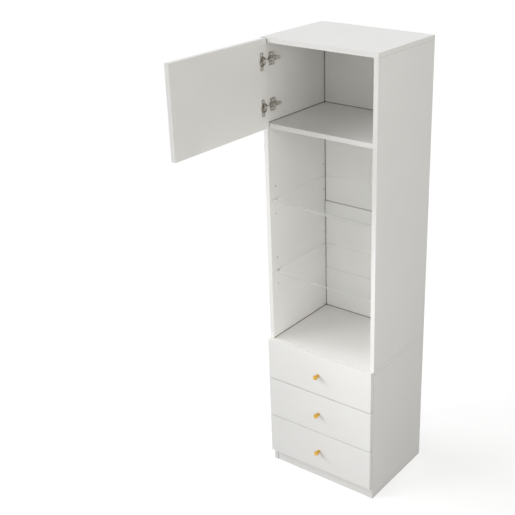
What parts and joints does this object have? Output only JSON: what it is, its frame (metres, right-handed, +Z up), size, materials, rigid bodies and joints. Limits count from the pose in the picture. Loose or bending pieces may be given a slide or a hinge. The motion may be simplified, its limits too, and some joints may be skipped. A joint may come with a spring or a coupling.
{
  "type": "microwave cabinet",
  "caption": "Tall white cabinet for a microwave oven: hinged door above, open bay with glass shelves, drawers with brass knobs below, recessed plinth.",
  "frame": {"origin": "centre of the carcass's footprint on the floor, halfway between the two lower sides and halfway along their depth", "axes": "+X to the cabinet's right as seen from the front, +Y to its back, +Z up; the front is on the -Y side; the door is drawn open at a right angle"},
  "size_m": [0.5, 0.8832, 1.818],
  "materials": {
    "white_board": "chipboard faced and edged with satin white melamine",
    "white_hardboard": "thin fibreboard, lacquered white",
    "shelf_glass": "clear float glass, ground edges",
    "plated_steel": "nickel plated",
    "zinc_steel": "bright zinc plated",
    "knob_brass": "polished",
    "beech": "turned, fluted"
  },
  "bodies": {
    "carcass": {"top_panel": "white_board", "upper_side_left": "white_board", "upper_side_right": "white_board", "fixed_shelf": "white_board", "deck_panel": "white_board", "lower_side_left": "white_board", "lower_side_right": "white_board", "bottom_panel": "white_board", "plinth_board": "white_board", "back_rail": "white_board", "back_panel_upper": "white_hardboard", "back_panel_lower": "white_hardboard", "back_panel_base": "white_hardboard", "glass_shelf_upper": "shelf_glass", "glass_shelf_lower": "shelf_glass", "shelf_pins": "plated_steel", "carcass_dowels": "beech", "hinge_plate_upper": "plated_steel", "hinge_plate_lower": "plated_steel", "hinge_arm_upper": "plated_steel", "hinge_arm_lower": "plated_steel", "hinge_arm_pins": "plated_steel", "slide_outer_top": "zinc_steel", "slide_outer_middle": "zinc_steel", "slide_outer_bottom": "zinc_steel"},
    "hinge_links": {"hinge_link_upper": "plated_steel", "hinge_link_lower": "plated_steel"},
    "door": {"door_panel": "white_board", "hinge_cup_upper": "plated_steel", "hinge_cup_lower": "plated_steel", "hinge_cup_pins": "plated_steel"},
    "drawer_top": {"drawer_front_top": "white_board", "drawer_side_left_top": "white_board", "drawer_side_right_top": "white_board", "drawer_back_top": "white_board", "drawer_base_top": "white_hardboard", "slide_inner_top": "zinc_steel", "knob_top": "knob_brass", "knob_screw_top": "zinc_steel"},
    "slide_member_top": {"slide_middle_top": "zinc_steel"},
    "drawer_middle": {"drawer_front_middle": "white_board", "drawer_side_left_middle": "white_board", "drawer_side_right_middle": "white_board", "drawer_back_middle": "white_board", "drawer_base_middle": "white_hardboard", "slide_inner_middle": "zinc_steel", "knob_middle": "knob_brass", "knob_screw_middle": "zinc_steel"},
    "slide_member_middle": {"slide_middle_middle": "zinc_steel"},
    "drawer_bottom": {"drawer_front_bottom": "white_board", "drawer_side_left_bottom": "white_board", "drawer_side_right_bottom": "white_board", "drawer_back_bottom": "white_board", "drawer_base_bottom": "white_hardboard", "slide_inner_bottom": "zinc_steel", "knob_bottom": "knob_brass", "knob_screw_bottom": "zinc_steel"},
    "slide_member_bottom": {"slide_middle_bottom": "zinc_steel"}
  },
  "joints": [
    {"name": "door_swing", "type": "hinge", "parent": "hinge_links", "child": "door", "pos_m": [-0.224, -0.207, 1.651], "axis": [0, 0, 1], "range_deg": [-28.8, 129.6]},
    {"name": "hinge_link_turn", "type": "hinge", "parent": "carcass", "child": "hinge_links", "pos_m": [-0.214, -0.184, 1.651], "axis": [0, 0, 1], "range_deg": [-39.7, 8.9]},
    {"name": "drawer_slide_top", "type": "slide", "parent": "carcass", "child": "drawer_top", "axis": [0, -1, 0], "range_m": [0, 0.34]},
    {"name": "slide_member_travel_top", "type": "slide", "parent": "carcass", "child": "slide_member_top", "axis": [0, -1, 0], "range_m": [0, 0.171]},
    {"name": "drawer_slide_middle", "type": "slide", "parent": "carcass", "child": "drawer_middle", "axis": [0, -1, 0], "range_m": [0, 0.34]},
    {"name": "slide_member_travel_middle", "type": "slide", "parent": "carcass", "child": "slide_member_middle", "axis": [0, -1, 0], "range_m": [0, 0.171]},
    {"name": "drawer_slide_bottom", "type": "slide", "parent": "carcass", "child": "drawer_bottom", "axis": [0, -1, 0], "range_m": [0, 0.34]},
    {"name": "slide_member_travel_bottom", "type": "slide", "parent": "carcass", "child": "slide_member_bottom", "axis": [0, -1, 0], "range_m": [0, 0.171]}
  ],
  "couplings": [
    {"joint": "hinge_link_turn", "follows": "door_swing", "ratio": -0.30556},
    {"joint": "slide_member_travel_top", "follows": "drawer_slide_top", "ratio": 0.5},
    {"joint": "slide_member_travel_middle", "follows": "drawer_slide_middle", "ratio": 0.5},
    {"joint": "slide_member_travel_bottom", "follows": "drawer_slide_bottom", "ratio": 0.5}
  ]
}
